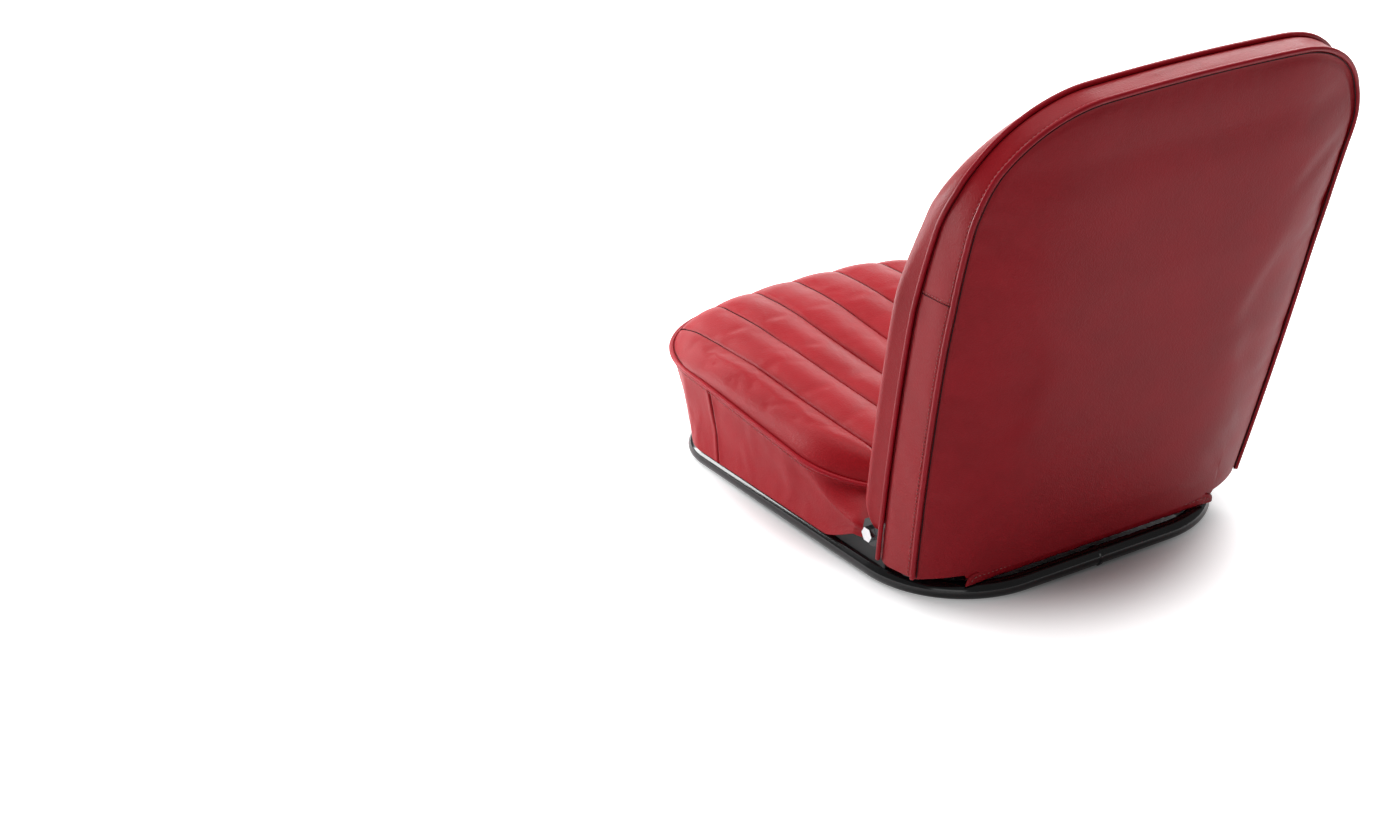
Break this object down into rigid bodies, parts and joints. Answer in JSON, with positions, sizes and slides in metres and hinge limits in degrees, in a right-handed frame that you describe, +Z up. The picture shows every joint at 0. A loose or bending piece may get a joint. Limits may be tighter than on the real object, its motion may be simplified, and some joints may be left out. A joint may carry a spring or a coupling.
{
  "type": "tipping bucket seat",
  "caption": "Upholstered bucket seat with piped edges and sewn channels on a bent-tube base with floor runners; the backrest folds forward on two pivot bolts.",
  "frame": {"origin": "on the floor plane, at the centre of the four floor bolt holes, which is also the middle of the base tube's loop", "axes": "+X to the sitter's left, +Y to the rear of the seat, +Z up; the seat faces -Y"},
  "size_m": [0.4864, 0.6367, 0.5718],
  "materials": {
    "black_enamel": "gloss",
    "chrome": "polished",
    "bright_steel": "satin",
    "plywood": "bare",
    "foam": "open-cell foam",
    "red_vinyl": "fine grain, satin",
    "red_piping": "smooth, satin",
    "black_rubber": "matt"
  },
  "bodies": {
    "base": {"base_tube": "black_enamel", "base_tube_weld": "black_enamel", "left_runner": "black_enamel", "right_runner": "black_enamel", "left_pivot_bracket": "black_enamel", "right_pivot_bracket": "black_enamel", "left_pivot_bolt": "chrome", "right_pivot_bolt": "chrome", "left_spacer_washer": "bright_steel", "right_spacer_washer": "bright_steel", "left_nut_washer": "bright_steel", "right_nut_washer": "bright_steel", "left_pivot_nut": "bright_steel", "right_pivot_nut": "bright_steel", "cushion_board": "plywood", "cushion_foam": "foam", "cushion_top_panel": "red_vinyl", "cushion_boxing": "red_vinyl", "cushion_piping": "red_piping"},
    "backrest": {"backrest_hoop": "black_enamel", "backrest_cross_tube": "black_enamel", "left_hinge_lug": "black_enamel", "right_hinge_lug": "black_enamel", "left_leg_plug": "black_rubber", "right_leg_plug": "black_rubber", "backrest_webbing": "black_rubber", "backrest_foam": "foam", "backrest_front_panel": "red_vinyl", "backrest_rear_panel": "red_vinyl", "backrest_side_band": "red_vinyl", "backrest_front_piping": "red_piping", "backrest_rear_piping": "red_piping", "backrest_hem": "red_vinyl", "left_hem_clip": "bright_steel", "right_hem_clip": "bright_steel"}
  },
  "joints": [
    {"name": "backrest_fold", "type": "hinge", "parent": "base", "child": "backrest", "pos_m": [0, 0.134, 0.054], "axis": [1, 0, 0], "range_deg": [0, 57]}
  ]
}
